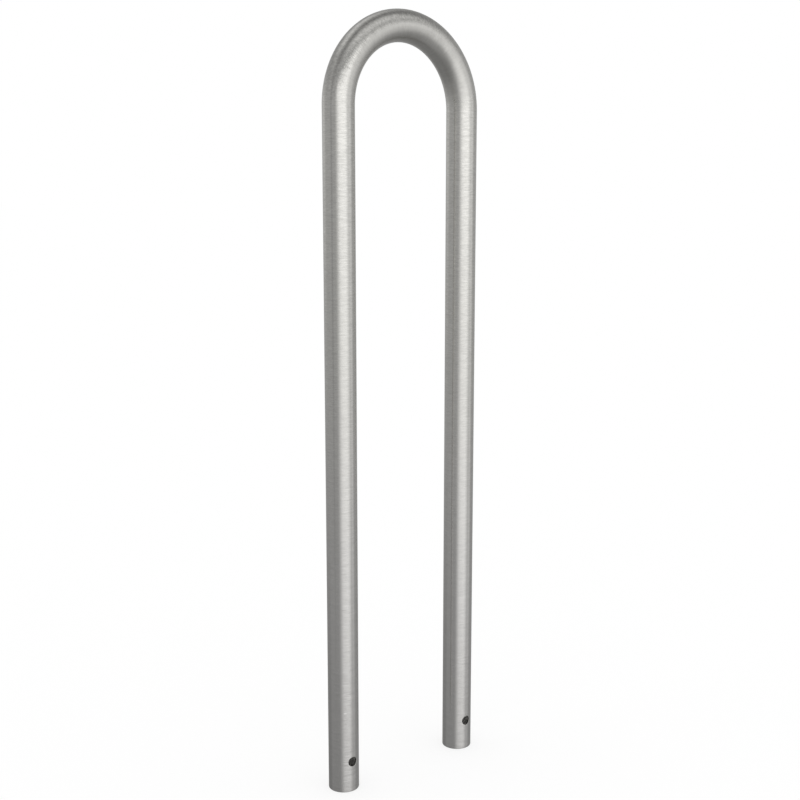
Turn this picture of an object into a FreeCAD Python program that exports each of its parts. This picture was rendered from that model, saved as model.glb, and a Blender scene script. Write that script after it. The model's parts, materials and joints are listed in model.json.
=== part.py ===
"""Hoop bike rack for setting in concrete: one steel tube bent into a tall narrow hoop.

The tube is laid out in three stretches, each a solid of its own, which meet face to face: a straight
left leg, the half-circle bend over the top with the short straight end that a bender grips on each
side of it, and a straight right leg. A rod hole is drilled straight through each leg near its foot.

Axes: +Z up the legs, +X across the hoop from the left leg to the right one, +Y through the hoop.
The origin is midway between the legs at the level of their feet. Millimetres throughout.
"""

import FreeCAD, Part
import math
import os

import Sketcher
from FreeCAD import Vector

# Driving dimensions: spreadsheet alias, value and what it is
DRIVING_DIMENSIONS = [
    ("tube_diameter", 50.8, "outside diameter of the tube"),
    ("wall_thickness", 3.05, "thickness of the tube's wall"),
    ("bend_radius", 127.0, "radius of the bend, measured on the tube's centreline"),
    ("bend_straight", 152.4, "straight end on each side of the bend, three tube diameters"),
    ("overall_height", 1270.0, "from the feet to the top of the bend"),
    ("rod_hole_diameter", 15.9, "hole through each leg for an anchor rod"),
    ("rod_hole_height", 52.4, "from the foot up to the middle of the rod hole"),
    ("foot_chamfer", 1.0, "bevel on the outer edge of each cut end"),
    ("bore_chamfer", 0.6, "bevel on the inner edge of each cut end"),
    ("rim_chamfer", 0.5, "deburred rim where a rod hole meets the tube's outside"),
]

SHEET_NAME = "Sizes"
TUBE_DIAMETER = f"{SHEET_NAME}.tube_diameter"
BORE_DIAMETER = f"{SHEET_NAME}.tube_diameter - 2 * {SHEET_NAME}.wall_thickness"
BEND_RADIUS = f"{SHEET_NAME}.bend_radius"
BEND_STRAIGHT = f"{SHEET_NAME}.bend_straight"
TANGENT_HEIGHT = f"{SHEET_NAME}.overall_height - {SHEET_NAME}.tube_diameter / 2 - {BEND_RADIUS}"
LEG_LENGTH = f"{TANGENT_HEIGHT} - {BEND_STRAIGHT}"
LEFT, RIGHT = -1, 1

# A sketch's own numbers for its axes, and for the points of a line, an arc or a circle
ORIGIN, UP_AXIS = -1, -2
START, END, CENTRE = 1, 2, 3

# How far a size may be off, how much more than a flat plug a hole through the round walls may take,
# and the most that holes and bevels may take of the plain tube
TOLERANCE = 0.01
MOST_PLUG_SHARE = 1.1
CUT_AWAY_SHARE = 0.004
PARTS_FOLDER = "parts"


def make_sheet(doc):
    """The spreadsheet that holds every driving dimension under its alias."""
    sheet = doc.addObject("Spreadsheet::Sheet", SHEET_NAME)
    for row, (alias, value, note) in enumerate(DRIVING_DIMENSIONS, 1):
        sheet.set(f"A{row}", alias)
        sheet.set(f"B{row}", str(value))
        sheet.set(f"C{row}", note)
        sheet.setAlias(f"B{row}", alias)
    doc.recompute()
    return sheet


def make_body(doc, label):
    """An empty body whose label names the piece."""
    body = doc.addObject("PartDesign::Body", label)
    body.Label = label
    return body


def plane_sketch(body, name, plane_role):
    """A sketch on one of its own body's origin planes."""
    plane = next(p for p in body.Origin.OriginFeatures if p.Role == plane_role)
    sketch = body.newObject("Sketcher::SketchObject", name)
    sketch.AttachmentSupport = [(plane, "")]
    sketch.MapMode = "FlatFace"
    return sketch


def bind_dimension(sketch, dimension, expression):
    """Adds a dimension to a sketch and binds it to an expression on the spreadsheet."""
    number = sketch.addConstraint(dimension)
    sketch.setExpression(f"Constraints[{number}]", expression)


def bound_circle(sketch, centre, diameter, diameter_expression):
    """Adds a circle whose diameter follows the spreadsheet, and returns its number."""
    circle = sketch.addGeometry(Part.Circle(centre, Vector(0, 0, 1), diameter / 2), False)
    bind_dimension(sketch, Sketcher.Constraint("Diameter", circle, diameter), diameter_expression)
    return circle


def hold_across(sketch, circle, side, bend_radius):
    """Holds a circle's centre one bend radius to the left or right of the hoop's middle line."""
    origin, centre = (ORIGIN, START), (circle, CENTRE)
    first, second = (origin, centre) if side == RIGHT else (centre, origin)
    distance = Sketcher.Constraint("DistanceX", *first, *second, bend_radius)
    bind_dimension(sketch, distance, BEND_RADIUS)


def tangent_height(sheet):
    """How high above the feet the bend's half circle starts."""
    return sheet.overall_height - sheet.tube_diameter / 2 - sheet.bend_radius


def tube_section(body, sheet, name, side):
    """The tube's ring section, square to a leg, on the body's horizontal plane."""
    sketch = plane_sketch(body, name, "XY_Plane")
    centre = Vector(side * sheet.bend_radius, 0, 0)
    bore = sheet.tube_diameter - 2 * sheet.wall_thickness
    outside = bound_circle(sketch, centre, sheet.tube_diameter, TUBE_DIAMETER)
    inside = bound_circle(sketch, centre, bore, BORE_DIAMETER)
    sketch.addConstraint(Sketcher.Constraint("PointOnObject", outside, CENTRE, ORIGIN))
    sketch.addConstraint(Sketcher.Constraint("Coincident", inside, CENTRE, outside, CENTRE))
    hold_across(sketch, outside, side, sheet.bend_radius)
    return sketch


def edge_names(feature, wanted):
    """The names of a feature's edges that pass a test."""
    return [f"Edge{n}" for n, edge in enumerate(feature.Shape.Edges, 1) if wanted(edge)]


def add_chamfer(body, base, name, wanted, size_alias):
    """Bevels the edges of the base feature that pass a test, and checks that there are some."""
    names = edge_names(base, wanted)
    if not names:
        raise RuntimeError(f"{body.Label}: no edge for {name}")
    chamfer = body.newObject("PartDesign::Chamfer", name)
    chamfer.Base = (base, names)
    chamfer.setExpression("Size", f"{SHEET_NAME}.{size_alias}")
    body.Document.recompute()
    return chamfer


def is_foot_edge(radius):
    """A test for the round edge of a given radius at the leg's cut end."""

    def wanted(edge):
        flat = edge.BoundBox.ZMax < TOLERANCE
        return flat and abs(edge.BoundBox.XLength - 2 * radius) < TOLERANCE

    return wanted


def is_rim_edge(sheet, side):
    """A test for the saddle-shaped rims that a rod hole leaves on the tube's outside."""

    def wanted(edge):
        start = edge.valueAt(edge.FirstParameter)
        from_axis = math.hypot(start.x - side * sheet.bend_radius, start.y)
        on_outside = abs(from_axis - sheet.tube_diameter / 2) < TOLERANCE
        by_hole = abs(start.z - sheet.rod_hole_height) < sheet.rod_hole_diameter
        return edge.Closed and on_outside and by_hole

    return wanted


def drill_rod_hole(body, sheet, side):
    """The anchor rod's hole, straight through both walls of the leg along Y."""
    sketch = plane_sketch(body, f"{body.Label}_rod_hole_sketch", "XZ_Plane")
    centre = Vector(side * sheet.bend_radius, sheet.rod_hole_height, 0)
    alias = f"{SHEET_NAME}.rod_hole_diameter"
    circle = bound_circle(sketch, centre, sheet.rod_hole_diameter, alias)
    hold_across(sketch, circle, side, sheet.bend_radius)
    height = Sketcher.Constraint("DistanceY", ORIGIN, START, circle, CENTRE, sheet.rod_hole_height)
    bind_dimension(sketch, height, f"{SHEET_NAME}.rod_hole_height")

    before = body.Shape.Volume
    hole = body.newObject("PartDesign::Pocket", f"{body.Label}_rod_hole")
    hole.Profile = sketch
    hole.Type = "ThroughAll"
    hole.SideType = "Symmetric"
    body.Document.recompute()
    drill_radius = sheet.rod_hole_diameter / 2
    removed = before - hole.Shape.Volume
    least = 2 * sheet.wall_thickness * math.pi * drill_radius**2
    if not least < removed < MOST_PLUG_SHARE * least:
        raise RuntimeError(f"{body.Label}: the rod hole took {removed:.1f} mm3, not about {least:.1f}")
    return hole


def make_leg(doc, sheet, label, side):
    """A straight leg, from its bevelled foot up to the bend's straight end, with its rod hole."""
    body = make_body(doc, label)
    tube = body.newObject("PartDesign::Pad", f"{label}_tube")
    tube.Profile = tube_section(body, sheet, f"{label}_section", side)
    tube.setExpression("Length", LEG_LENGTH)
    doc.recompute()

    outer_radius = sheet.tube_diameter / 2
    inner_radius = outer_radius - sheet.wall_thickness
    hole = drill_rod_hole(body, sheet, side)
    rims = add_chamfer(body, hole, f"{label}_rims", is_rim_edge(sheet, side), "rim_chamfer")
    foot = add_chamfer(body, rims, f"{label}_foot", is_foot_edge(outer_radius), "foot_chamfer")
    add_chamfer(body, foot, f"{label}_foot_bore", is_foot_edge(inner_radius), "bore_chamfer")
    return body


def bend_centreline(body, sheet, name):
    """The bend's path: up one straight end, over the half circle and down the other one."""
    radius, high = sheet.bend_radius, tangent_height(sheet)
    low = high - sheet.bend_straight
    half_circle = Part.ArcOfCircle(Part.Circle(Vector(0, high, 0), Vector(0, 0, 1), radius), 0, math.pi)
    sketch = plane_sketch(body, name, "XZ_Plane")
    rise = sketch.addGeometry(Part.LineSegment(Vector(-radius, low, 0), Vector(-radius, high, 0)), False)
    turn = sketch.addGeometry(half_circle, False)
    fall = sketch.addGeometry(Part.LineSegment(Vector(radius, high, 0), Vector(radius, low, 0)), False)

    sketch.addConstraint(Sketcher.Constraint("Vertical", rise))
    sketch.addConstraint(Sketcher.Constraint("Vertical", fall))
    sketch.addConstraint(Sketcher.Constraint("Tangent", rise, END, turn, END))
    sketch.addConstraint(Sketcher.Constraint("Tangent", turn, START, fall, START))
    sketch.addConstraint(Sketcher.Constraint("Horizontal", rise, START, fall, END))
    sketch.addConstraint(Sketcher.Constraint("PointOnObject", turn, CENTRE, UP_AXIS))
    bind_dimension(sketch, Sketcher.Constraint("Radius", turn, radius), BEND_RADIUS)
    straight = Sketcher.Constraint("DistanceY", rise, START, rise, END, sheet.bend_straight)
    bind_dimension(sketch, straight, BEND_STRAIGHT)
    foot_to_end = Sketcher.Constraint("DistanceY", ORIGIN, START, rise, START, low)
    bind_dimension(sketch, foot_to_end, LEG_LENGTH)
    return sketch


def make_bend(doc, sheet, label):
    """The bend over the top: the tube's section carried along the bend's centreline."""
    body = make_body(doc, label)
    section = tube_section(body, sheet, f"{label}_section", LEFT)
    section.setExpression("AttachmentOffset.Base.z", LEG_LENGTH)
    bend = body.newObject("PartDesign::AdditivePipe", f"{label}_tube")
    bend.Profile = section
    bend.Spine = bend_centreline(body, sheet, f"{label}_centreline")
    doc.recompute()
    return body


def check_document(doc):
    """Stops if any object of the document failed to compute, or a sketch can still move."""
    for item in doc.Objects:
        if {"Invalid", "Error"} & set(item.State):
            raise RuntimeError(f"{item.Label} didn't compute: {item.State}")
        if item.isDerivedFrom("Sketcher::SketchObject") and not item.FullyConstrained:
            raise RuntimeError(f"{item.Label} isn't fully constrained")


def check_solid(body):
    """Stops if a piece isn't one valid solid."""
    shape = body.Shape
    if shape.isNull() or not shape.isValid() or len(shape.Solids) != 1:
        raise RuntimeError(f"{body.Label} isn't one valid solid")


def check_hoop(sheet, pieces):
    """Compares the whole hoop with its driving dimensions, and prints what it measures."""
    hoop = Part.makeCompound([piece.Shape for piece in pieces])
    box = hoop.optimalBoundingBox()
    wanted = {
        "width": (box.XLength, 2 * sheet.bend_radius + sheet.tube_diameter),
        "depth": (box.YLength, sheet.tube_diameter),
        "height": (box.ZMax, sheet.overall_height),
        "foot level": (box.ZMin, 0.0),
    }
    for name, (got, value) in wanted.items():
        print(f"{name}: {got:.2f} mm")
        if abs(got - value) > TOLERANCE:
            raise RuntimeError(f"{name} is {got:.3f} mm, not {value:.3f} mm")

    outer_radius = sheet.tube_diameter / 2
    ring = math.pi * (outer_radius**2 - (outer_radius - sheet.wall_thickness) ** 2)
    plain = ring * (2 * tangent_height(sheet) + math.pi * sheet.bend_radius)
    share = hoop.Volume / plain
    print(f"steel: {hoop.Volume / 1000:.1f} cm3, {share:.4f} of the plain bent tube")
    if not 1 - CUT_AWAY_SHARE < share < 1:
        raise RuntimeError("the hoop's volume doesn't match its tube's length and section")


def export(pieces):
    """Writes each piece under its own name."""
    os.makedirs(PARTS_FOLDER, exist_ok=True)
    for piece in pieces:
        piece.Shape.exportStep(f"{PARTS_FOLDER}/{piece.Label}.step")
        print(f"{piece.Label}: {piece.Shape.Volume / 1000:.2f} cm3")


def main():
    """Builds the hoop's three stretches, checks them and writes them out."""
    doc = FreeCAD.newDocument("hoop_bike_rack")
    sheet = make_sheet(doc)
    pieces = [
        make_leg(doc, sheet, "left_leg", LEFT),
        make_bend(doc, sheet, "top_bend"),
        make_leg(doc, sheet, "right_leg", RIGHT),
    ]
    doc.recompute()
    check_document(doc)
    for piece in pieces:
        check_solid(piece)
    check_hoop(sheet, pieces)
    export(pieces)


main()
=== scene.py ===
"""Hoop bike rack: one stainless tube, brushed all round and bent into a tall narrow hoop.

Lengths are metres and angles degrees, unless their own description says otherwise. The left leg
stands at -X and the right leg at +X, the bend joins them over the top, and the rod holes run along
Y. Each vertex also remembers where it was on the straight tube, because the steel was brushed
before it was bent: the finish is worked out from that place, so the brush marks go round the tube
everywhere.
"""

import json
import logging
import math
from dataclasses import dataclass, field
from enum import Enum
from itertools import pairwise
from typing import Any, Union

import bmesh
import bpy
from bmesh.types import BMEdge, BMesh, BMFace, BMVert
from mathutils import Matrix, Vector


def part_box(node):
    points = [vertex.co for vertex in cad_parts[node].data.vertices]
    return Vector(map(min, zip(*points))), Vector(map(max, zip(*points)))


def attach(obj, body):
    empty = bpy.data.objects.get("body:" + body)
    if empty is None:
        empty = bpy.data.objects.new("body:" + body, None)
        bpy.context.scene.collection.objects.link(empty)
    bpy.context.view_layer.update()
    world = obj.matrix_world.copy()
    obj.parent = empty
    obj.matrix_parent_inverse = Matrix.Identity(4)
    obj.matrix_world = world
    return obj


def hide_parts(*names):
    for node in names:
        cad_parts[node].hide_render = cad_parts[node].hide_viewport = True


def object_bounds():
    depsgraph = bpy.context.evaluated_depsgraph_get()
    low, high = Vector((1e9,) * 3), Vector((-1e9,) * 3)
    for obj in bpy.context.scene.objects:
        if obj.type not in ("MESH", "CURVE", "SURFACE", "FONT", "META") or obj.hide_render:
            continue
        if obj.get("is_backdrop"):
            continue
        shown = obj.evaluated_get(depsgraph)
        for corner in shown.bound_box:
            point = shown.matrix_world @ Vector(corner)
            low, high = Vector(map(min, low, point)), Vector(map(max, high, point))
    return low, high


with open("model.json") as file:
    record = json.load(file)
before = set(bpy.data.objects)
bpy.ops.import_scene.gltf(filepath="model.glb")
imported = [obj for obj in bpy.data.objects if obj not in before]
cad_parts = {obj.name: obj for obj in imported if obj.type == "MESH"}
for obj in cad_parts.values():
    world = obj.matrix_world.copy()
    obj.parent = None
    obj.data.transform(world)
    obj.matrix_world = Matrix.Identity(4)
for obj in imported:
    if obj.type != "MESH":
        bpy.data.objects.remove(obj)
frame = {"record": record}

log = logging.getLogger("bike_rack")

STRAIGHT_PLACE = "straight_place"
TUBE_DIRECTION = "tube_direction"
MILLIMETRE = 0.001
SKIN = 0.05 * MILLIMETRE
HALF_TURN = 180.0
WHITE = (1.0, 1.0, 1.0, 1.0)


class Side(Enum):
    """Which leg of the hoop, by the sign of its place on X."""

    LEFT = -1
    RIGHT = 1


class Surface(Enum):
    """The three kinds of surface on the tube, numbered as the mesh's materials are."""

    BRUSHED = 0
    BORE = 1
    CUT = 2


@dataclass(frozen=True)
class TubeSizes:
    """The bent tube's own sizes.

    Attributes:
        outer_radius: Half of the tube's outside diameter.
        bend_radius: Radius of the bend's centreline, and how far each leg is from the middle.
        tangent_height: Height at which the legs run into the half circle.
        division_height: Height at which the legs' pieces meet the bend's piece.
        hole_radius: Radius of the rod holes.
        hole_height: Height of the rod holes' axes.
        wall: Thickness of the tube's wall.
    """

    outer_radius: float
    bend_radius: float
    tangent_height: float
    division_height: float
    hole_radius: float
    hole_height: float
    wall: float = 3.05 * MILLIMETRE

    @classmethod
    def from_frame(cls) -> "TubeSizes":
        """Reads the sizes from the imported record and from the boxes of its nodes.

        Returns:
            The tube's sizes in metres.
        """
        mounts = {mount["name"]: mount for mount in frame["record"]["mounts"]}
        shank, hole = mounts["left_leg_shank"], mounts["left_rod_hole"]
        outer_radius = shank["dims"]["r_mm"] * MILLIMETRE
        bend_radius = abs(shank["pos_m"][0])
        return cls(
            outer_radius=outer_radius,
            bend_radius=bend_radius,
            tangent_height=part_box("top_bend")[1].z - outer_radius - bend_radius,
            division_height=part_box("left_leg")[1].z,
            hole_radius=hole["dims"]["r_mm"] * MILLIMETRE,
            hole_height=hole["pos_m"][2],
        )

    @property
    def bore_radius(self) -> float:
        """Radius of the tube's inside."""
        return self.outer_radius - self.wall

    @property
    def tube_length(self) -> float:
        """Length of the straight tube that the hoop is bent from."""
        return 2 * self.tangent_height + math.pi * self.bend_radius

    def straighten(self, point: Vector) -> tuple[Vector, Vector]:
        """Undoes the bend for one point of the hoop.

        Args:
            point: A point on the bent tube.

        Returns:
            The point's place on the straight tube, which stands on the origin along +Z with the
            inside of the bend towards +X, and the tube's direction at the point on the hoop.
        """
        rise = point.z - self.tangent_height
        if rise > 0:
            turn = math.atan2(rise, -point.x)
            inward = self.bend_radius - math.hypot(point.x, rise)
            height = self.tangent_height + self.bend_radius * turn
            direction = Vector((math.sin(turn), 0, math.cos(turn)))
            return Vector((inward, point.y, height)), direction
        if point.x < 0:
            return Vector((point.x + self.bend_radius, point.y, point.z)), Vector((0, 0, 1))
        height = self.tube_length - point.z
        return Vector((self.bend_radius - point.x, point.y, height)), Vector((0, 0, -1))


class Signal:
    """A shader value that plain arithmetic works on: each operation adds its Math node."""

    def __init__(self, recipe: "Recipe", socket: bpy.types.NodeSocket) -> None:
        """Wraps one output socket of a recipe's node."""
        self.recipe = recipe
        self.socket = socket

    def math(self, operation: str, *others: "Number") -> "Signal":
        """Adds a Math node with this value first.

        Args:
            operation: The Math node's operation.
            others: Its second and third inputs.

        Returns:
            The node's result.
        """
        return self.recipe.math(operation, self, *others)

    def __add__(self, other: "Number") -> "Signal":
        """This value and another, added."""
        return self.math("ADD", other)

    def __sub__(self, other: "Number") -> "Signal":
        """This value less another."""
        return self.math("SUBTRACT", other)

    def __rsub__(self, other: "Number") -> "Signal":
        """Another value less this one."""
        return self.recipe.math("SUBTRACT", other, self)

    def __mul__(self, other: "Number") -> "Signal":
        """This value times another."""
        return self.math("MULTIPLY", other)

    def __abs__(self) -> "Signal":
        """This value without its sign."""
        return self.math("ABSOLUTE")

    __radd__ = __add__
    __rmul__ = __mul__

    def rise(self, low: float, high: float) -> "Signal":
        """A soft step.

        Args:
            low: Where the step starts, at 0.
            high: Where it ends, at 1. It may be under low, and then the step falls.

        Returns:
            The step's value.
        """
        settings = {"interpolation_type": "SMOOTHSTEP"}
        inputs = {"Value": self, "From Min": low, "From Max": high}
        return self.recipe.value("ShaderNodeMapRange", settings, inputs, "Result")


Number = Union[Signal, float]
Triple = Union[bpy.types.NodeSocket, tuple[float, float, float]]


class Recipe:
    """Builds the nodes of one material or world."""

    def __init__(self, tree: bpy.types.NodeTree) -> None:
        """Starts from an empty node tree."""
        tree.nodes.clear()
        self.tree = tree

    def node(
        self, kind: str, settings: dict[str, Any] | None = None, inputs: dict[Any, Any] | None = None
    ) -> bpy.types.Node:
        """Adds one node.

        Args:
            kind: The node's type.
            settings: The node's own properties, which are set first.
            inputs: A value or a link for each input that is named or numbered.

        Returns:
            The new node.
        """
        made = self.tree.nodes.new(kind)
        for name, value in (settings or {}).items():
            setattr(made, name, value)
        for name, value in (inputs or {}).items():
            if isinstance(value, Signal):
                value = value.socket
            if isinstance(value, bpy.types.NodeSocket):
                self.tree.links.new(value, made.inputs[name])
            else:
                made.inputs[name].default_value = value
        return made

    def value(
        self, kind: str, settings: dict[str, Any] | None, inputs: dict[Any, Any] | None, output: Any
    ) -> Signal:
        """Adds one node and wraps one of its outputs.

        Args:
            kind: The node's type.
            settings: The node's own properties.
            inputs: A value or a link for each input.
            output: The name or number of the output.

        Returns:
            The output as a signal.
        """
        return Signal(self, self.node(kind, settings, inputs).outputs[output])

    def math(self, operation: str, *numbers: Number) -> Signal:
        """Adds a Math node.

        Args:
            operation: The node's operation.
            numbers: Its inputs in order.

        Returns:
            The node's result.
        """
        return self.value("ShaderNodeMath", {"operation": operation}, dict(enumerate(numbers)), 0)

    def vector(self, operation: str, *inputs: Triple) -> bpy.types.NodeSocket:
        """Adds a Vector Math node.

        Args:
            operation: The node's operation.
            inputs: Its vectors in order.

        Returns:
            The node's vector.
        """
        made = self.node("ShaderNodeVectorMath", {"operation": operation}, dict(enumerate(inputs)))
        return made.outputs["Vector"]

    def scaled(self, vector: Triple, factor: Number) -> bpy.types.NodeSocket:
        """A vector made longer or shorter by a value."""
        inputs = {0: vector, "Scale": factor}
        return self.node("ShaderNodeVectorMath", {"operation": "SCALE"}, inputs).outputs["Vector"]

    def parts(self, vector: bpy.types.NodeSocket) -> tuple[Signal, Signal, Signal]:
        """Splits a vector.

        Args:
            vector: The vector.

        Returns:
            Its three numbers.
        """
        split = self.node("ShaderNodeSeparateXYZ", inputs={"Vector": vector})
        x, y, z = (Signal(self, output) for output in split.outputs)
        return x, y, z

    def attribute(self, name: str) -> bpy.types.NodeSocket:
        """A vector that the mesh holds at each vertex."""
        return self.node("ShaderNodeAttribute", {"attribute_name": name}).outputs["Vector"]

    def bearing(self, x: Signal, y: Signal) -> Signal:
        """A direction's angle round Z, in degrees from -Y towards -X."""
        return self.math("DEGREES", self.math("ARCTAN2", 0 - x, 0 - y))


@dataclass(frozen=True)
class Pattern:
    """Smooth random bumps on the steel.

    Attributes:
        per_metre: How many bumps to a metre along each axis of the straight tube.
        detail: How many finer layers lie over the bumps.
        persistence: How strong each finer layer is beside the one before.
    """

    per_metre: tuple[float, float, float]
    detail: float = 2.0
    persistence: float = 0.6

    def values(self, recipe: Recipe, place: bpy.types.NodeSocket) -> Signal:
        """The bumps' heights.

        Args:
            recipe: The recipe of the steel.
            place: The place on the straight tube.

        Returns:
            Values centred on 0, from about -0.5 to 0.5.
        """
        inputs = {
            "Vector": recipe.vector("MULTIPLY", place, self.per_metre),
            "Scale": 1.0,
            "Detail": self.detail,
            "Roughness": self.persistence,
        }
        return recipe.value("ShaderNodeTexNoise", None, inputs, "Fac") - 0.5


@dataclass(frozen=True)
class Grain:
    """One layer of brush marks.

    Attributes:
        around: Marks to a metre round the tube: fewer makes longer marks.
        along: Marks to a metre along the tube.
        tilt: How far a mark leans the surface along the tube, as a slope.
    """

    around: float
    along: float
    tilt: float

    def lean(self, recipe: Recipe, place: bpy.types.NodeSocket) -> Signal:
        """How far the marks lean the surface along the tube.

        Args:
            recipe: The recipe of the steel.
            place: The place on the straight tube.

        Returns:
            The slope, which reaches the tilt either way.
        """
        marks = Pattern((self.around, self.around, self.along))
        return marks.values(recipe, place) * (2 * self.tilt)


@dataclass(frozen=True)
class Spot:
    """Any point of the tube's outside, as shader values.

    Attributes:
        place: Its place on the straight tube.
        height: Its height on the straight tube.
        bearing: Its direction from the straight tube's axis, from -Y towards -X.
        bend: From 0 on the legs to 1 on the bend.
        foot: From 0 near the bend to 1 near the foot.
        upper: From 0 near the foot to 1 near the bend.
        stretched: 1 on the outside of the bend, where the steel was stretched, and 0 elsewhere.
    """

    place: bpy.types.NodeSocket
    height: Signal
    bearing: Signal
    bend: Signal
    foot: Signal
    upper: Signal
    stretched: Signal


@dataclass(frozen=True)
class PaintedGlintScratch:
    """A short mark round the left leg, whose highlight is painted into the colour as a short bright
    line.

    Attributes:
        height: Its height above the foot.
        bearing: The direction of its middle, from -Y towards -X.
        half_turn: Half of its length, in degrees round the tube.
        glint: How much brighter the painted highlight makes it than the steel around it.
        half_width: Half of its width.
        side_fade: The share of its half width over which its sides fade, either way.
        end_fade: The share of its half length over which its ends fade, either way.
    """

    height: float
    bearing: float
    half_turn: float
    glint: float
    half_width: float = 0.6 * MILLIMETRE
    side_fade: float = 0.5
    end_fade: float = 0.3

    def brightness(self, spot: Spot) -> Signal:
        """The painted highlight that the mark adds to the brightness of the steel.

        Args:
            spot: The point of the steel.

        Returns:
            The added brightness.
        """
        above, aside = abs(spot.height - self.height), abs(spot.bearing - self.bearing)
        side, end = self.half_width * self.side_fade, self.half_turn * self.end_fade
        across = above.rise(self.half_width + side, self.half_width - side)
        return self.glint * across * aside.rise(self.half_turn + end, self.half_turn - end)


@dataclass(frozen=True)
class BrushedStainless:
    """The tube's outside: satin stainless steel, brushed round the tube.

    A zone is two distances: where it starts to show, and where it shows in full.

    Attributes:
        colour: The steel's own colour.
        foot_tint: What is added to the colour near the foot.
        roughness: How rough it is between the brush marks.
        bend_roughness: How much rougher it is on the bend.
        stretch_polish: How much of that is gone on the stretched outside of the bend.
        patchiness: How much the roughness changes from patch to patch.
        shade: How much the colour changes from patch to patch.
        patches: The patches.
        grains: The layers of brush marks, finest first.
        hand_grain: The coarser marks on the bend, which is brushed again by hand once it is bent.
        foot_calm: How much shallower the marks are near the foot.
        specks: The fine marks that change the colour.
        marks: How much the colour changes from one speck to the next.
        upper_marks: How much more it changes near the bend.
        bend_calm: How much of that is gone again on the bend.
        mottle: The coarser specks on the stretched outside of the bend.
        stretch_marks: How much the colour changes from one of those to the next.
        bend_zone: Where the bend's own finish is, down the leg from the end of the bend.
        foot_zone: Where the foot's finish is, measured the same way.
        upper_zone: Where the marks near the bend are, measured the same way.
        crown_zone: Where the crown of the hoop is, along the tube from its middle.
        stretched_zone: Where the steel was stretched, from the axis to the inside of the bend.
        crown_spread: How much further in that reaches at the crown.
        painted_glint_scratches: The few marks that catch the light, as highlights painted into the
            colour.
    """

    colour: tuple[float, float, float] = (0.63, 0.622, 0.595)
    foot_tint: tuple[float, float, float] = (0.002, 0.0, 0.013)
    roughness: float = 0.20
    bend_roughness: float = 0.10
    stretch_polish: float = 0.8
    patchiness: float = 0.20
    shade: float = 0.05
    patches: Pattern = Pattern((45, 45, 70), detail=3.0)
    grains: tuple[Grain, ...] = (
        Grain(around=60, along=6000, tilt=0.37),
        Grain(around=110, along=1300, tilt=0.032),
        Grain(around=110, along=380, tilt=0.010),
    )
    hand_grain: Grain = Grain(around=200, along=300, tilt=0.035)
    foot_calm: float = 0.35
    specks: Pattern = Pattern((110, 110, 420), detail=1.0)
    marks: float = 0.07
    upper_marks: float = 0.29
    bend_calm: float = 0.5
    mottle: Pattern = Pattern((220, 220, 330))
    stretch_marks: float = 0.75
    bend_zone: tuple[float, float] = (0.02, -0.04)
    foot_zone: tuple[float, float] = (0.3, 0.9)
    upper_zone: tuple[float, float] = (1.0, 0.0)
    crown_zone: tuple[float, float] = (0.16, 0.04)
    stretched_zone: tuple[float, float] = (-0.009, -0.021)
    crown_spread: float = 0.011
    # Highlights painted into the colour as short bright lines on the left leg.
    painted_glint_scratches: tuple[PaintedGlintScratch, ...] = (
        PaintedGlintScratch(height=0.1394, bearing=30, half_turn=5, glint=0.4),
        PaintedGlintScratch(height=0.1296, bearing=32, half_turn=6, glint=0.12),
        PaintedGlintScratch(height=0.2107, bearing=42, half_turn=26, glint=0.08),
        PaintedGlintScratch(height=0.0725, bearing=22, half_turn=16, glint=0.08),
    )

    def locate(self, recipe: Recipe, sizes: TubeSizes) -> Spot:
        """Works out where on the hoop a point of the steel is.

        Args:
            recipe: The recipe of the steel.
            sizes: The tube's sizes, which say where the bend is.

        Returns:
            The point.
        """
        place = recipe.attribute(STRAIGHT_PLACE)
        inward, back, height = recipe.parts(place)
        from_crown = abs(height - sizes.tube_length / 2)
        down_leg = from_crown - (sizes.tube_length / 2 - sizes.tangent_height)
        bend = down_leg.rise(*self.bend_zone)
        outside = inward - self.crown_spread * from_crown.rise(*self.crown_zone)
        return Spot(
            place=place,
            height=height,
            bearing=recipe.bearing(inward, back),
            bend=bend,
            foot=down_leg.rise(*self.foot_zone),
            upper=down_leg.rise(*self.upper_zone),
            stretched=bend * outside.rise(*self.stretched_zone),
        )

    def normal(self, recipe: Recipe, spot: Spot) -> bpy.types.NodeSocket:
        """Leans the surface along the tube by its brush marks.

        Args:
            recipe: The recipe of the steel.
            spot: The point of the steel.

        Returns:
            The leaning surface's normal.
        """
        lean = sum(grain.lean(recipe, spot.place) for grain in self.grains)
        by_hand = self.hand_grain.lean(recipe, spot.place)
        lean = by_hand * spot.bend + lean * (1 - self.foot_calm * spot.foot)
        along = recipe.scaled(recipe.attribute(TUBE_DIRECTION), lean)
        smooth = recipe.node("ShaderNodeNewGeometry").outputs["Normal"]
        return recipe.vector("NORMALIZE", recipe.vector("ADD", smooth, along))

    def brightness(self, recipe: Recipe, spot: Spot, patches: Signal) -> Signal:
        """How much brighter or darker than its own colour the steel is, with the marks' painted
        highlights added.

        Args:
            recipe: The recipe of the steel.
            spot: The point of the steel.
            patches: The values of the patches there.

        Returns:
            The brightness, about 1.
        """
        marks = self.marks + self.upper_marks * spot.upper * (1 - self.bend_calm * spot.bend)
        mottle = spot.stretched * self.mottle.values(recipe, spot.place)
        specks = marks * self.specks.values(recipe, spot.place)
        plain = 1 + specks + self.shade * patches + self.stretch_marks * mottle
        # The marks' highlights are painted light, added to the colour.
        return sum((glinting_scratch.brightness(spot) for glinting_scratch in self.painted_glint_scratches), plain)

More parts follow.
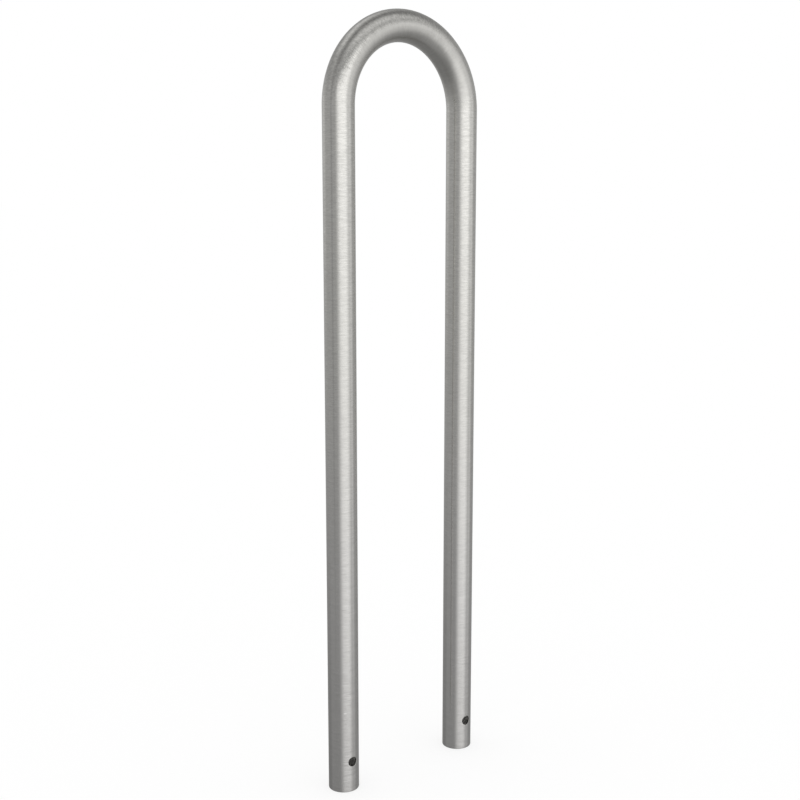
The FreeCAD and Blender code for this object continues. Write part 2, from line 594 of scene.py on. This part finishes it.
    def make(self, sizes: TubeSizes) -> bpy.types.Material:
        """Builds the material.

        Args:
            sizes: The tube's sizes.

        Returns:
            The finished material.
        """
        material, recipe = new_material("brushed_stainless")
        spot = self.locate(recipe, sizes)
        patches = self.patches.values(recipe, spot.place)
        colour = recipe.vector("ADD", self.colour, recipe.scaled(self.foot_tint, spot.foot))
        rougher = self.bend_roughness * (spot.bend - self.stretch_polish * spot.stretched)
        shader = recipe.node(
            "ShaderNodeBsdfPrincipled",
            inputs={
                "Base Color": recipe.scaled(colour, self.brightness(recipe, spot, patches)),
                "Metallic": 1.0,
                "Roughness": (self.roughness + rougher) * (1 + self.patchiness * patches),
                "Normal": self.normal(recipe, spot),
            },
        )
        finish_surface(recipe, shader)
        return material


@dataclass(frozen=True)
class PlainSteel:
    """A duller steel with one layer of marks, for the bore and the cut faces.

    Attributes:
        name: The material's name.
        colour: The steel's colour: the bore's is made paler than the brushed steel's as painted light,
            the cut faces' darker as painted shade.
        metallic: How bare the metal is: 0 where it is matt from the pickling bath.
        roughness: How rough it is.
        marks: The marks.
        depth: Depth of the marks.
        shade: How much the colour changes from mark to mark.
        patchiness: How much the roughness changes from mark to mark.
    """

    name: str
    colour: tuple[float, float, float]
    metallic: float
    roughness: float
    marks: Pattern
    depth: float
    shade: float
    patchiness: float = 0.3

    def make(self) -> bpy.types.Material:
        """Builds the material.

        Returns:
            The finished material.
        """
        material, recipe = new_material(self.name)
        marks = self.marks.values(recipe, recipe.attribute(STRAIGHT_PLACE))
        bump = recipe.node("ShaderNodeBump", inputs={"Height": marks, "Distance": self.depth})
        shader = recipe.node(
            "ShaderNodeBsdfPrincipled",
            inputs={
                "Base Color": recipe.scaled(self.colour, 1 + self.shade * marks),
                "Metallic": self.metallic,
                "Roughness": self.roughness * (1 + self.patchiness * marks),
                "Normal": bump.outputs["Normal"],
            },
        )
        finish_surface(recipe, shader)
        return material


def new_material(name: str) -> tuple[bpy.types.Material, Recipe]:
    """Starts an empty material.

    Args:
        name: The material's name.

    Returns:
        The material and the recipe that builds its nodes.
    """
    material = bpy.data.materials.new(name)
    material.use_nodes = True
    return material, Recipe(material.node_tree)


def finish_surface(recipe: Recipe, shader: bpy.types.Node) -> None:
    """Links a shader to a material's surface."""
    recipe.node("ShaderNodeOutputMaterial", inputs={"Surface": shader.outputs[0]})


@dataclass(frozen=True)
class Finishes:
    """The tube's three finishes, in the order of Surface. The bore's colour holds painted light and the
    cut faces' colour holds painted shade.
    """

    brushed: BrushedStainless = BrushedStainless()
    bore: PlainSteel = PlainSteel(
        name="tube_bore_painted_light",
        # The tube's matt inside, made paler than the brushed steel as painted light for the inside that
        # shows through the rod holes.
        colour=(0.77, 0.76, 0.74),
        metallic=0.0,
        roughness=0.65,
        marks=Pattern((60, 60, 25), detail=3.0),
        depth=0.1 * MILLIMETRE,
        shade=0.4,
    )
    cut: PlainSteel = PlainSteel(
        name="cut_steel_painted_shade",
        # Bare cut steel, darkened further as painted shade for the walls of the rod holes; the feet's
        # cut ends take it too.
        colour=(0.42, 0.415, 0.40),
        metallic=1.0,
        roughness=0.35,
        marks=Pattern((1400, 60, 900), detail=3.0),
        depth=0.03 * MILLIMETRE,
        shade=0.2,
    )

    def make(self, sizes: TubeSizes) -> list[bpy.types.Material]:
        """The three materials, in the order of Surface."""
        return [self.brushed.make(sizes), self.bore.make(), self.cut.make()]


def edges_among(verts: list[BMVert]) -> list[BMEdge]:
    """Finds the edges that run between some vertices.

    Args:
        verts: The vertices.

    Returns:
        Each edge once, in a steady order.
    """
    chosen = set(verts)
    found = (edge for vert in verts for edge in vert.link_edges if edge.other_vert(vert) in chosen)
    return list(dict.fromkeys(found))


def verts_of(edges: list[BMEdge]) -> list[BMVert]:
    """The vertices of some edges, each once and in a steady order."""
    return list(dict.fromkeys(vert for edge in edges for vert in edge.verts))


def ring(mesh: BMesh, radius: float, segments: int, place: Matrix) -> list[BMEdge]:
    """Adds a circle of edges.

    Args:
        mesh: The mesh that it is added to.
        radius: The circle's radius.
        segments: How many edges it has.
        place: Where it lies, from its own XY plane.

    Returns:
        Its edges.
    """
    made = bmesh.ops.create_circle(mesh, cap_ends=False, radius=radius, segments=segments, matrix=place)
    return edges_among(made["verts"])


def extrude_ring(mesh: BMesh, edges: list[BMEdge], shift: Vector) -> list[BMEdge]:
    """Extrudes a ring of edges and moves the new ring.

    Args:
        mesh: The mesh.
        edges: The ring.
        shift: How far the new ring moves.

    Returns:
        The new ring's edges.
    """
    made = bmesh.ops.extrude_edge_only(mesh, edges=edges)["geom"]
    verts = [part for part in made if isinstance(part, BMVert)]
    bmesh.ops.translate(mesh, verts=verts, vec=shift)
    return edges_among(verts)


def extrude_through(mesh: BMesh, edges: list[BMEdge], heights: list[float]) -> list[BMEdge]:
    """Extrudes a ring up or down through a list of heights.

    Args:
        mesh: The mesh.
        edges: The ring, which lies at the first height.
        heights: The heights of the rings.

    Returns:
        The last ring's edges.
    """
    for low, high in pairwise(heights):
        edges = extrude_ring(mesh, edges, Vector((0, 0, high - low)))
    return edges


def join_skins(mesh: BMesh, outer: list[BMEdge], inner: list[BMEdge]) -> None:
    """Closes the flat end of the tube between its two skins.

    Args:
        mesh: The mesh.
        outer: The outer skin's end ring.
        inner: The inner skin's end ring, with a corner beside each of the outer ring's corners.
    """
    corners = verts_of(inner)
    copies = verts_of(extrude_ring(mesh, outer, Vector()))
    nearest = {copy: min(corners, key=lambda corner: (corner.co - copy.co).length) for copy in copies}
    bmesh.ops.weld_verts(mesh, targetmap=nearest)


def bevel(mesh: BMesh, edges: list[BMEdge], size: float, segments: int) -> None:
    """Rounds some edges over.

    Args:
        mesh: The mesh.
        edges: The edges.
        size: How far the bevel reaches from each edge.
        segments: How many faces it has across.
    """
    bmesh.ops.bevel(
        mesh, geom=edges, offset=size, offset_type="OFFSET", affect="EDGES", segments=segments,
        profile=0.5, material=-1, clamp_overlap=True,
    )


@dataclass
class TubePiece:
    """What the legs and the bend have in common.

    Attributes:
        sizes: The tube's sizes.
        materials: The tube's materials, in the order of Surface.
        node: The node of the frame that the piece stands for.
        segments: How many faces go round the tube.
        sharp_from: The angle from which an edge is sharp.
    """

    sizes: TubeSizes
    materials: list[bpy.types.Material]
    node: str
    segments: int = 96
    sharp_from: float = 50.0

    def surface_of(self, face: BMFace) -> Surface:
        """Tells a face's kind of surface by how far its corners are from the axis.

        Args:
            face: The face.

        Returns:
            The kind of surface.
        """
        reaches = [self.sizes.straighten(vert.co)[0].xy.length for vert in face.verts]
        if min(reaches) > self.sizes.outer_radius - SKIN:
            return Surface.BRUSHED
        if max(reaches) < self.sizes.bore_radius + SKIN:
            return Surface.BORE
        return Surface.CUT

    def finish(self, mesh: BMesh) -> bpy.types.Object:
        """Turns the modelled mesh into a dressed piece on the frame.

        Args:
            mesh: The modelled mesh, which is freed.

        Returns:
            The piece.
        """
        bmesh.ops.recalc_face_normals(mesh, faces=mesh.faces)
        for face in mesh.faces:
            face.smooth = True
            face.material_index = self.surface_of(face).value
        data = bpy.data.meshes.new(f"{self.node}_tube")
        mesh.to_mesh(data)
        mesh.free()
        data.set_sharp_from_angle(angle=math.radians(self.sharp_from))
        places, directions = zip(*(self.sizes.straighten(vert.co) for vert in data.vertices))
        for name, vectors in ((STRAIGHT_PLACE, places), (TUBE_DIRECTION, directions)):
            attribute = data.attributes.new(name, "FLOAT_VECTOR", "POINT")
            attribute.data.foreach_set("vector", [number for vector in vectors for number in vector])
        for material in self.materials:
            data.materials.append(material)

        piece = bpy.data.objects.new(data.name, data)
        bpy.context.scene.collection.objects.link(piece)
        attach(piece, "root")
        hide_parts(self.node)
        log.info("%s: %d faces", piece.name, len(data.polygons))
        return piece


@dataclass
class Leg(TubePiece):
    """A straight leg with its rod hole, open at its foot.

    Attributes:
        side: Which leg it is.
        foot_bevel: Bevel on the outer edge of the foot.
        bore_bevel: Bevel on the inner edge of the foot.
        rim_bevel: Rounding of the rod hole's rims.
        foot_steps: Faces across each bevel of the foot.
        rim_steps: Faces across the rounding of a rim.
        window_columns: Faces of the wall across the window that holds a mouth of the rod hole.
        window_rows: Faces of the wall along the window.
        window_cuts: Rings of corners between the mouth and the window's border.
    """

    side: Side = Side.LEFT
    foot_bevel: float = 1.0 * MILLIMETRE
    bore_bevel: float = 0.6 * MILLIMETRE
    rim_bevel: float = 0.5 * MILLIMETRE
    foot_steps: int = 2
    rim_steps: int = 3
    window_columns: int = 16
    window_rows: int = 8
    window_cuts: int = 3

    @property
    def axis_x(self) -> float:
        """Where the leg's axis crosses X."""
        return self.side.value * self.sizes.bend_radius

    @property
    def window_half_turn(self) -> float:
        """Half of the window's width as an angle round the tube, in radians."""
        return math.pi * self.window_columns / self.segments

    @property
    def window_half_height(self) -> float:
        """Half of the window's height, about as far as its width reaches round the tube."""
        return self.sizes.outer_radius * self.window_half_turn

    def wall(self, mesh: BMesh, radius: float) -> tuple[list[BMEdge], list[BMEdge]]:
        """Adds one skin of the leg, from the foot up to the bend's piece.

        Args:
            mesh: The mesh.
            radius: The skin's radius.

        Returns:
            The lowest and the highest ring.
        """
        low = self.sizes.hole_height - self.window_half_height
        row = 2 * self.window_half_height / self.window_rows
        rows = [low + row * number for number in range(self.window_rows + 1)]
        middle = (rows[-1] + self.sizes.division_height) / 2
        heights = [0.0, low / 2, *rows, middle, self.sizes.division_height]
        foot = ring(mesh, radius, self.segments, Matrix.Translation((self.axis_x, 0, 0)))
        return foot, extrude_through(mesh, foot, heights)

    def in_window(self, face: BMFace, radius: float, front: int) -> bool:
        """Tells whether a face lies in the window round a mouth of the rod hole.

        Args:
            face: The face.
            radius: The radius of the skin that the window is in.
            front: -1 for the mouth on -Y, 1 for the one on +Y.

        Returns:
            Whether it does.
        """
        centre = face.calc_center_median() - Vector((self.axis_x, 0, self.sizes.hole_height))
        on_skin = abs(centre.xy.length - radius) < self.sizes.wall / 4
        turn = abs(math.atan2(centre.x, front * centre.y))
        return on_skin and turn < self.window_half_turn and abs(centre.z) < self.window_half_height

    def open_window(self, mesh: BMesh, radius: float, front: int) -> list[BMEdge]:
        """Takes the faces out of a window round a mouth of the rod hole.

        Args:
            mesh: The mesh.
            radius: The skin's radius.
            front: -1 for the mouth on -Y, 1 for the one on +Y.

        Returns:
            The window's border.
        """
        faces = [face for face in mesh.faces if self.in_window(face, radius, front)]
        chosen = set(faces)
        edges = dict.fromkeys(edge for face in faces for edge in face.edges)
        border = [edge for edge in edges if sum(face in chosen for face in edge.link_faces) == 1]
        bmesh.ops.delete(mesh, geom=faces, context="FACES")
        return border

    def seat(self, verts: list[BMVert], radius: float, front: int) -> None:
        """Moves vertices along Y onto a skin of the tube."""
        for vert in verts:
            vert.co.y = front * math.sqrt(radius**2 - (vert.co.x - self.axis_x) ** 2)

    def close_round(self, mesh: BMesh, radius: float, front: int, mouth: list[BMEdge]) -> None:
        """Fills a window of a skin up to the rod hole's mouth.

        Args:
            mesh: The mesh.
            radius: The skin's radius.
            front: Which mouth, by the sign of its Y.
            mouth: The ring of edges round the hole, on the skin.
        """
        border = self.open_window(mesh, radius, front)
        made = bmesh.ops.bridge_loops(mesh, edges=border + mouth)
        spokes = [part for part in made["edges"] if isinstance(part, BMEdge)]
        cut = bmesh.ops.subdivide_edges(mesh, edges=spokes, cuts=self.window_cuts, use_grid_fill=True)
        new = [part for part in cut["geom_inner"] if isinstance(part, BMVert)]
        self.seat(new, radius, front)

    def drill(self, mesh: BMesh, front: int) -> list[BMEdge]:
        """Makes one mouth of the rod hole, through the wall.

        Args:
            mesh: The mesh.
            front: -1 for the mouth on -Y, 1 for the one on +Y.

        Returns:
            The hole's outer rim.
        """
        around = 2 * (self.window_columns + self.window_rows)
        upright = Matrix.Rotation(math.pi / 2, 4, "X")
        place = Matrix.Translation((self.axis_x, 0, self.sizes.hole_height)) @ upright
        rim = ring(mesh, self.sizes.hole_radius, around, place)
        self.seat(verts_of(rim), self.sizes.outer_radius, front)
        inner = extrude_ring(mesh, rim, Vector())
        self.seat(verts_of(inner), self.sizes.bore_radius, front)
        self.close_round(mesh, self.sizes.outer_radius, front, rim)
        self.close_round(mesh, self.sizes.bore_radius, front, inner)
        return rim

    def build(self) -> bpy.types.Object:
        """Builds the leg.

        Returns:
            The finished piece.
        """
        mesh = bmesh.new()
        outer_foot, outer_top = self.wall(mesh, self.sizes.outer_radius)
        inner_foot, inner_top = self.wall(mesh, self.sizes.bore_radius)
        join_skins(mesh, outer_foot, inner_foot)
        join_skins(mesh, outer_top, inner_top)
        rims = self.drill(mesh, -1) + self.drill(mesh, 1)
        bmesh.ops.recalc_face_normals(mesh, faces=mesh.faces)
        bevel(mesh, rims, self.rim_bevel, self.rim_steps)
        bevel(mesh, outer_foot, self.foot_bevel, self.foot_steps)
        bevel(mesh, inner_foot, self.bore_bevel, self.foot_steps)
        piece = self.finish(mesh)
        weighted = piece.modifiers.new("even_faces", "WEIGHTED_NORMAL")
        weighted.keep_sharp = True
        return piece


@dataclass
class Bend(TubePiece):
    """The bend over the top, with a straight end on each side.

    Attributes:
        turn_steps: Rows of faces along the half circle.
        straight_steps: Rows of faces along each straight end.
    """

    turn_steps: int = 120
    straight_steps: int = 4

    def wall(self, mesh: BMesh, radius: float) -> tuple[list[BMEdge], list[BMEdge]]:
        """Adds one skin of the bend, from its left end over the top to its right end.

        Args:
            mesh: The mesh.
            radius: The skin's radius.

        Returns:
            The rings at its two ends.
        """
        sizes = self.sizes
        low, high = sizes.division_height, sizes.tangent_height
        rows = [low + (high - low) * n / self.straight_steps for n in range(self.straight_steps + 1)]
        start = ring(mesh, radius, self.segments, Matrix.Translation((-sizes.bend_radius, 0, low)))
        upper = extrude_through(mesh, start, rows)
        turned = bmesh.ops.spin(
            mesh, geom=upper + verts_of(upper), cent=(0, 0, high), axis=(0, 1, 0), dvec=(0, 0, 0),
            angle=math.pi, steps=self.turn_steps, use_merge=False, use_duplicate=False,
        )
        last = [part for part in turned["geom_last"] if isinstance(part, BMVert)]
        return start, extrude_through(mesh, edges_among(last), rows[::-1])

    def build(self) -> bpy.types.Object:
        """Builds the bend.

        Returns:
            The finished piece.
        """
        mesh = bmesh.new()
        outer_ends = self.wall(mesh, self.sizes.outer_radius)
        inner_ends = self.wall(mesh, self.sizes.bore_radius)
        for outer, inner in zip(outer_ends, inner_ends):
            join_skins(mesh, outer, inner)
        return self.finish(mesh)


@dataclass(frozen=True)
class SoftPanel:
    """A pale patch of the light tent, or a shaded one.

    Each pair is in degrees, with the bearing's part first and the elevation's after it.

    Attributes:
        middle: Its middle's bearing, from -Y towards -X, and its angle above the horizon.
        half_size: Half of its width and half of its height.
        fades: Over how many degrees its sides fade, and its top and bottom.
        level: How much brightness it adds to the tent, where 1 is white, or takes away.
    """

    middle: tuple[float, float]
    half_size: tuple[float, float]
    fades: tuple[float, float]
    level: float

    def brightness(self, bearing: Signal, elevation: Signal) -> Signal:
        """What the panel adds to the tent in each direction.

        Args:
            bearing: The direction's bearing.
            elevation: The direction's elevation.

        Returns:
            The added brightness.
        """
        aside = abs((bearing - self.middle[0]).math("WRAP", HALF_TURN, -HALF_TURN))
        above = abs(elevation - self.middle[1])
        across, upright = (
            away.rise(half + fade / 2, half - fade / 2)
            for away, half, fade in zip((aside, above), self.half_size, self.fades)
        )
        return self.level * across * upright


@dataclass
class LightTent:
    """The big grey tent that the steel mirrors, and nothing else sees.

    Attributes:
        centre: The middle of the hoop.
        radius: The tent's radius.
        facets: How finely the tent is divided, where 1 is the coarsest.
        cloth: How bright the bare cloth is, where 1 is white.
        panels: The paler and the shaded patches, each by its name.
    """

    centre: Vector
    radius: float = 40.0
    facets: int = 4
    cloth: float = 0.231
    panels: dict[str, SoftPanel] = field(default_factory=lambda: {
        "key": SoftPanel((13.5, 17.5), (36.5, 8.5), fades=(23, 14), level=0.78),
        "below the key": SoftPanel((9, -5.5), (35.5, 24), fades=(40, 35.5), level=0.64),
        "low in front": SoftPanel((-17.5, -28.5), (38, 51), fades=(54.5, 34.5), level=0.12),
        "high in front": SoftPanel((-2, 59), (57, 17), fades=(70, 33.5), level=0.54),
        "horizon": SoftPanel((180, 5.5), (185, 25), fades=(6, 60), level=0.25),
        "high at the back": SoftPanel((171, 58.5), (52, 11.5), fades=(70.5, 38.5), level=0.62),
        "flag over the key": SoftPanel((22.5, 38), (18, 6), fades=(12, 14), level=-0.25),
        "right side": SoftPanel((-51.5, 15.5), (10, 39.5), fades=(11, 27), level=0.24),
        "dark slot at the left": SoftPanel((90, 7.5), (3, 22.5), fades=(8, 20), level=-0.18),
        "line high at the back": SoftPanel((140, 62), (10, 10), fades=(14, 17), level=0.1),
        "low at the back": SoftPanel((165, 5), (18, 6.5), fades=(15, 13), level=0.2),
        "key's right end": SoftPanel((-40, 6.5), (8, 4), fades=(15, 10), level=0.36),
        "dark floor at the back": SoftPanel((163, -27), (25, 10), fades=(20, 16), level=-0.07),
        "tick at the left": SoftPanel((115, 33.5), (12, 6), fades=(14, 12), level=0.14),
        "high at the left": SoftPanel((70, 38), (8, 8), fades=(20, 16), level=0.12),
        "flag at the key's left end": SoftPanel((40, 26), (7, 4), fades=(14, 12), level=-0.17),
        "dark edge of the arch": SoftPanel((-141, 14), (12, 6), fades=(12, 10), level=-0.14),
    })

    def brightness(self, recipe: Recipe) -> Number:
        """How bright the tent is in each direction.

        Args:
            recipe: The recipe of the tent's material.

        Returns:
            The brightness.
        """
        place = recipe.node("ShaderNodeTexCoord").outputs["Object"]
        direction = recipe.vector("NORMALIZE", recipe.vector("SUBTRACT", place, tuple(self.centre)))
        x, y, z = recipe.parts(direction)
        bearing, elevation = recipe.bearing(x, y), recipe.math("DEGREES", z.math("ARCSINE"))
        added = (panel.brightness(bearing, elevation) for panel in self.panels.values())
        return sum(added, self.cloth)

    def build(self) -> None:
        """Builds the tent as a stage piece that only mirrored rays meet."""
        mesh = bmesh.new()
        place = Matrix.Translation(self.centre)
        bmesh.ops.create_icosphere(mesh, subdivisions=self.facets, radius=self.radius, matrix=place)
        material, recipe = new_material("tent_cloth")
        glow = recipe.node("ShaderNodeEmission", inputs={"Strength": self.brightness(recipe)})
        finish_surface(recipe, glow)
        material.cycles.emission_sampling = "NONE"
        tent = stage_object("light_tent", mesh, material)
        tent.visible_camera = False
        tent.visible_diffuse = False
        tent.visible_shadow = False
        tent.visible_transmission = False


def stage_object(name: str, mesh: BMesh, material: bpy.types.Material) -> bpy.types.Object:
    """Makes a piece of the stage, which isn't part of the rack.

    Args:
        name: The object's name.
        mesh: Its mesh, which is freed.
        material: Its material.

    Returns:
        The object.
    """
    data = bpy.data.meshes.new(name)
    mesh.to_mesh(data)
    mesh.free()
    data.materials.append(material)
    made = bpy.data.objects.new(name, data)
    bpy.context.scene.collection.objects.link(made)
    made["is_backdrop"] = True
    return made


@dataclass
class Studio:
    """The pale floor, the even white surroundings, the light tent and the camera.

    Attributes:
        floor_half_width: Half of the floor's width.
        floor_cells: How many faces the floor has each way.
        floor_glow: How much of the floor is plain white to the camera; the rest takes the shadow.
        camera_place: Where the photograph was taken from.
        camera_bearing: The direction it looks in, from +Y towards +X.
        camera_fall: How far it looks down.
        camera_lens: Focal length in millimetres on a 36 mm wide sensor.
    """

    floor_half_width: float = 60.0
    floor_cells: int = 8
    floor_glow: float = 0.75
    camera_place: Vector = field(default_factory=lambda: Vector((-1.2752, -1.5524, 0.9943)))
    camera_bearing: float = 39.29
    camera_fall: float = 9.85
    camera_lens: float = 55.26

    def lay_floor(self) -> None:
        """Lays the floor under the feet."""
        mesh = bmesh.new()
        cells = self.floor_cells
        bmesh.ops.create_grid(mesh, x_segments=cells, y_segments=cells, size=self.floor_half_width)
        material, recipe = new_material("pale_floor")
        matt = recipe.node("ShaderNodeBsdfDiffuse", inputs={"Color": WHITE})
        white = recipe.node("ShaderNodeEmission", inputs={"Color": WHITE, "Strength": 1.0})
        seen = recipe.node("ShaderNodeLightPath").outputs
        rays = (Signal(recipe, seen[f"Is {kind} Ray"]) for kind in ("Camera", "Glossy", "Transmission"))
        share = self.floor_glow * sum(rays)
        inputs = {"Fac": share, 1: matt.outputs[0], 2: white.outputs[0]}
        finish_surface(recipe, recipe.node("ShaderNodeMixShader", inputs=inputs))
        floor = stage_object("floor", mesh, material)
        floor.visible_glossy = False

    def surround(self) -> None:
        """Gives the stage even white surroundings."""
        world = bpy.data.worlds.new("studio")
        bpy.context.scene.world = world
        world.use_nodes = True
        recipe = Recipe(world.node_tree)
        white = recipe.node("ShaderNodeBackground", inputs={"Color": WHITE, "Strength": 1.0})
        recipe.node("ShaderNodeOutputWorld", inputs={"Surface": white.outputs[0]})
        world.cycles.sampling_method = "NONE"

    def place_camera(self) -> None:
        """Puts the camera where the photograph was taken from."""
        data = bpy.data.cameras.new("camera")
        data.lens = self.camera_lens
        camera = bpy.data.objects.new("camera", data)
        bpy.context.scene.collection.objects.link(camera)
        bearing, fall = math.radians(self.camera_bearing), math.radians(self.camera_fall)
        ahead = Vector((math.sin(bearing), math.cos(bearing), 0)) * math.cos(fall)
        ahead.z = -math.sin(fall)
        camera.location = self.camera_place
        camera.rotation_euler = ahead.to_track_quat("-Z", "Y").to_euler()
        bpy.context.scene.camera = camera

    def build(self, middle: Vector) -> None:
        """Sets the stage.

        Args:
            middle: The middle of the hoop.
        """
        self.lay_floor()
        self.surround()
        LightTent(middle).build()
        self.place_camera()
        bpy.context.scene.view_settings.view_transform = "Standard"


def main() -> None:
    """Builds the hoop's three pieces and the stage."""
    logging.basicConfig(level=logging.INFO)
    frame_box = [list(corner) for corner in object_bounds()]
    sizes = TubeSizes.from_frame()
    materials = Finishes().make(sizes)
    Leg(sizes, materials, "left_leg", side=Side.LEFT).build()
    Bend(sizes, materials, "top_bend").build()
    Leg(sizes, materials, "right_leg", side=Side.RIGHT).build()
    lowest, highest = (Vector(corner) for corner in frame_box)
    Studio().build((lowest + highest) / 2)


if __name__ == "__main__":
    main()
